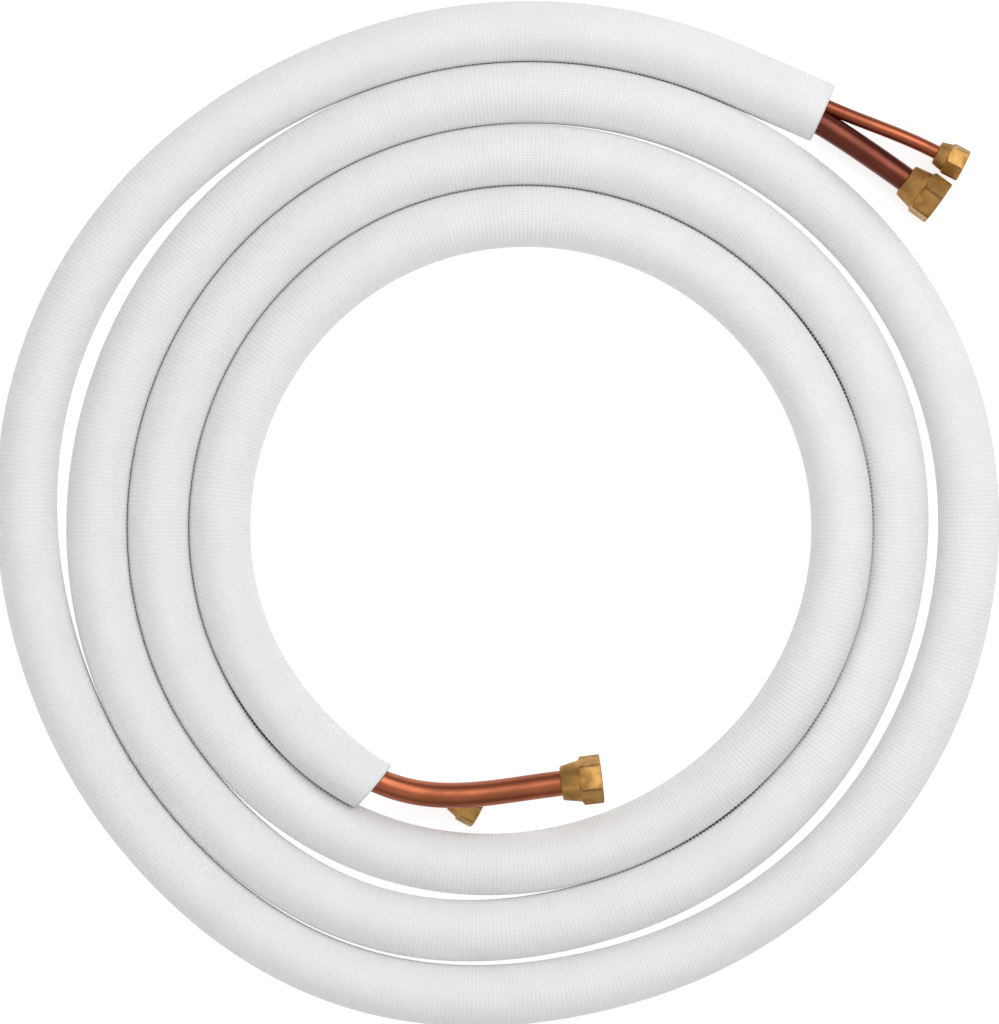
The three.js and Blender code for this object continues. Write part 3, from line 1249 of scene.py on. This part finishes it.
@dataclass
class CopperPipe:
    """One copper pipe, from the flare in its inner nut to the flare in its outer nut."""

    kind: PipeKind
    ends: Mapping[CoilEnd, NutPlace]
    inner_colour: Colour
    outer_colour: Colour
    outer_leave: float
    sides: int = 30
    wall: float = 0.8
    bend_handle: float = 0.36
    fine_step: float = 2.4
    coarse_step: float = 9.0
    fine_reach: float = 0.125
    bend_points: int = 120
    flare_shares: tuple[float, ...] = (0.08, 0.5, 1.0)
    flare_ease: float = 0.04
    weld_reach: float = 0.02
    smooth_angle: float = 30.0

    @property
    def nut(self) -> NutSize:
        """Sizes of the nuts on this pipe."""
        return NUT_SIZES[self.kind]

    @property
    def radius(self) -> float:
        """The pipe's outer radius in millimetres."""
        return self.nut.pipe / 2

    @property
    def from_bore(self) -> float:
        """Millimetres from the middle of the bore, in which the pipes lie on opposite sides."""
        side = -1.0 if self.kind is PipeKind.SUCTION else 1.0
        return side * (SLEEVE_BORE / 2 - self.radius - CLEARANCE)

    def free_end(self, start: np.ndarray, forward: np.ndarray, place: NutPlace, leave: float) -> np.ndarray:
        """Points of the pipe from the sleeve's end to the mouth of its nut.

        Args:
            start: Where the pipe leaves the sleeve, in metres.
            forward: The direction in which it leaves.
            place: The nut's place.
            leave: How far it keeps that direction, as a share of the way to the nut.

        Returns:
            The points after the start, in metres.
        """
        finish = np.array(place.origin)
        axis = np.array(place.axis)
        reach = np.linalg.norm(finish - start)
        corners = (start, start + forward * leave * reach, finish - axis * self.bend_handle * reach, finish)
        share = np.linspace(0.0, 1.0, self.bend_points + 1)[1:, None]
        rest = 1.0 - share
        weights = (rest**3, 3 * rest**2 * share, 3 * rest * share**2, share**3)
        bend = sum(weight * corner for weight, corner in zip(weights, corners))
        return np.vstack([bend, finish + axis * self.nut.length * MM])

    def route(self) -> np.ndarray:
        """The pipe's whole centre line, from the inner nut's mouth to the outer nut's mouth."""
        places = ROUTE.places()
        coil = ROUTE.pipe_centre(places, self.from_bore) * MM
        ahead = ROUTE.along(places[[0, -1]])
        inner = self.free_end(coil[0], -ahead[0], self.ends[CoilEnd.INNER], self.bend_handle)
        outer = self.free_end(coil[-1], ahead[1], self.ends[CoilEnd.OUTER], self.outer_leave)
        return np.vstack([inner[::-1], coil, outer])

    def run(self, start: float, finish: float, step: float) -> bpy.types.Object:
        """Models one step of plain pipe and repeats it.

        Args:
            start: Where the run starts along the pipe, in metres.
            finish: Where it ends.
            step: About how long a step is, in metres.

        Returns:
            The straight run.
        """
        count = math.ceil((finish - start) / step)
        step = (finish - start) / count
        radius = self.radius * MM
        run = add_ring(f"{self.kind.value}_copper_pipe", self.sides, radius, start)
        draw_out([(radius, 0.0), (radius, step)], unit=1.0)
        repeat(run, count, step)
        return run

    def flare(self, start: float, direction: float) -> bpy.types.Object:
        """Models the flare at one end.

        Args:
            start: Where it starts along the pipe, in metres.
            direction: -1 for the inner end and 1 for the outer end.

        Returns:
            The flare, still without its wall.
        """
        radius = self.radius * MM
        spread = (self.nut.flare_radius - self.radius) * MM
        rings = [(radius, start)]
        for share in self.flare_shares:
            ahead = start + direction * spread * (share + self.flare_ease * (1.0 - share))
            rings.append((radius + spread * share, ahead))
        end = add_ring("flare", self.sides, radius, start)
        draw_out(rings, unit=1.0)
        return end

    def build(self) -> None:
        """Builds the pipe."""
        route = self.route()
        length = float(run_length(route)[-1])
        inset = (self.nut.length - self.nut.flare_start) * MM
        fine = self.fine_reach
        marks = [inset, inset + fine, length - inset - fine, length - inset]
        parts = [
            self.run(marks[0], marks[1], self.fine_step * MM),
            self.run(marks[1], marks[2], self.coarse_step * MM),
            self.run(marks[2], marks[3], self.fine_step * MM),
            self.flare(marks[0], -1.0),
            self.flare(marks[3], 1.0),
        ]
        pipe = join(parts, self.weld_reach)
        finish_modifier(
            pipe, "SOLIDIFY", thickness=self.wall * MM, offset=-1.0, use_even_offset=True,
            use_rim=True,
        )
        paint_place(pipe)
        bend_along(pipe, route)
        smooth_but_for(pipe, self.smooth_angle)
        name = f"{self.kind.value}_pipe"
        finish = DrawnCopper(f"{self.kind.value}_copper", self.inner_colour, self.outer_colour, length)
        settle(pipe, "line", name, finish.make())


BRIGHT_COPPER = (0.46, 0.137, 0.065)

# Each pipe's colour at the outer end, and how far it keeps the sleeve's direction there

OUTER_ENDS = {
    PipeKind.SUCTION: ((0.175, 0.049, 0.032), 0.10),
    PipeKind.LIQUID: ((0.37, 0.103, 0.052), 0.36),
}


# Floor, light and camera


@dataclass(frozen=True)
class SoftLamp:
    """A square studio lamp that points at the middle of the coil."""

    name: str
    place: tuple[float, float, float]
    size: float
    watts: float
    colour: Colour


@dataclass
class Studio:
    """A white floor, soft lamps, and the camera straight above the coil."""

    pixel: float = 0.565 * MM
    height: float = 3.0
    focus_height: float = 0.017
    film_width: float = 36.0
    coil_pixel: tuple[float, float] = (500.0, 512.0)
    floor_size: float = 8.0
    floor_drop: float = 0.0005
    floor_white: Colour = (0.42, 0.42, 0.42)
    floor_glow: float = 0.74
    horizon: float = 0.16
    zenith: float = 0.72
    lamps: tuple[SoftLamp, ...] = (
        SoftLamp("key", (0.95, 0.89, 2.25), 2.2, 39.0, (0.96, 0.975, 1.0)),
        SoftLamp("fill", (-1.6, -1.1, 1.5), 1.5, 6.0, (1.0, 0.94, 0.84)),
    )

    def lay_floor(self) -> None:
        """Lays the pale floor."""
        deselect()
        bpy.ops.mesh.primitive_plane_add(size=self.floor_size, location=(0.0, 0.0, -self.floor_drop))
        floor = bpy.context.object
        floor.name = "floor"
        bench = FinishBench("white_floor")
        bench.set(base_color=self.floor_white, roughness=0.9)
        bench.set(emission_color=(1.0, 1.0, 1.0), emission_strength=self.floor_glow)
        floor.data.materials.append(bench.material)

    def hang_lamp(self, lamp: SoftLamp) -> None:
        """Hangs one lamp and points it at the coil."""
        data = bpy.data.lights.new(lamp.name, "AREA")
        data.shape = "SQUARE"
        data.size = lamp.size
        data.energy = lamp.watts
        data.color = lamp.colour
        light = bpy.data.objects.new(lamp.name, data)
        bpy.context.scene.collection.objects.link(light)
        light.location = lamp.place
        light.rotation_euler = (-Vector(lamp.place)).to_track_quat("-Z", "Y").to_euler()

    def light(self) -> None:
        """Lights the room, more from above than from the sides, and hangs the lamps."""
        world = bpy.data.worlds.new("studio")
        world.use_nodes = True
        background = world.node_tree.nodes["Background"]
        bench = NodeBench(world.node_tree)
        height = bench.parts(bench.node("ShaderNodeTexCoord", output="Generated"))[2]
        bench.plug(background.inputs["Color"], (1.0, 1.0, 1.0, 1.0))
        strength = self.horizon + (self.zenith - self.horizon) * height.ramp(0.0, 1.0)
        bench.plug(background.inputs["Strength"], strength)
        bpy.context.scene.world = world
        for lamp in self.lamps:
            self.hang_lamp(lamp)
        bpy.context.scene.view_settings.view_transform = "Standard"

    def set_camera(self) -> None:
        """Sets the camera so that a pixel of the frame is the photograph's pixel."""
        data = bpy.data.cameras.new("camera")
        data.sensor_fit = "HORIZONTAL"
        data.sensor_width = self.film_width
        data.lens = self.film_width * self.height / (PHOTO_WIDTH * self.pixel)
        data.clip_end = 50.0
        camera = bpy.data.objects.new("camera", data)
        bpy.context.scene.collection.objects.link(camera)
        across = (PHOTO_WIDTH / 2 - self.coil_pixel[0]) * self.pixel
        up = (self.coil_pixel[1] - PHOTO_HEIGHT / 2) * self.pixel
        camera.location = (across, up, self.height + self.focus_height)
        bpy.context.scene.camera = camera

    def build(self) -> None:
        """Sets up the whole studio."""
        self.lay_floor()
        self.light()
        self.set_camera()


def main() -> None:
    """Builds the line set around its frame."""
    logging.basicConfig(level=logging.INFO, format="%(message)s")
    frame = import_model()
    Studio().build()
    FoamSleeve().build()
    places = nut_places(frame["joints"])
    for kind, (outer_colour, outer_leave) in OUTER_ENDS.items():
        ends = {end: places[kind, end] for end in CoilEnd}
        CopperPipe(kind, ends, BRIGHT_COPPER, outer_colour, outer_leave).build()
        brass = TurnedBrass().make(f"{kind.value}_nut_brass", NUT_SIZES[kind].corner)
        for end in CoilEnd:
            FlareNut(kind, end, places[kind, end], brass).build()


if __name__ == "__main__":
    main()
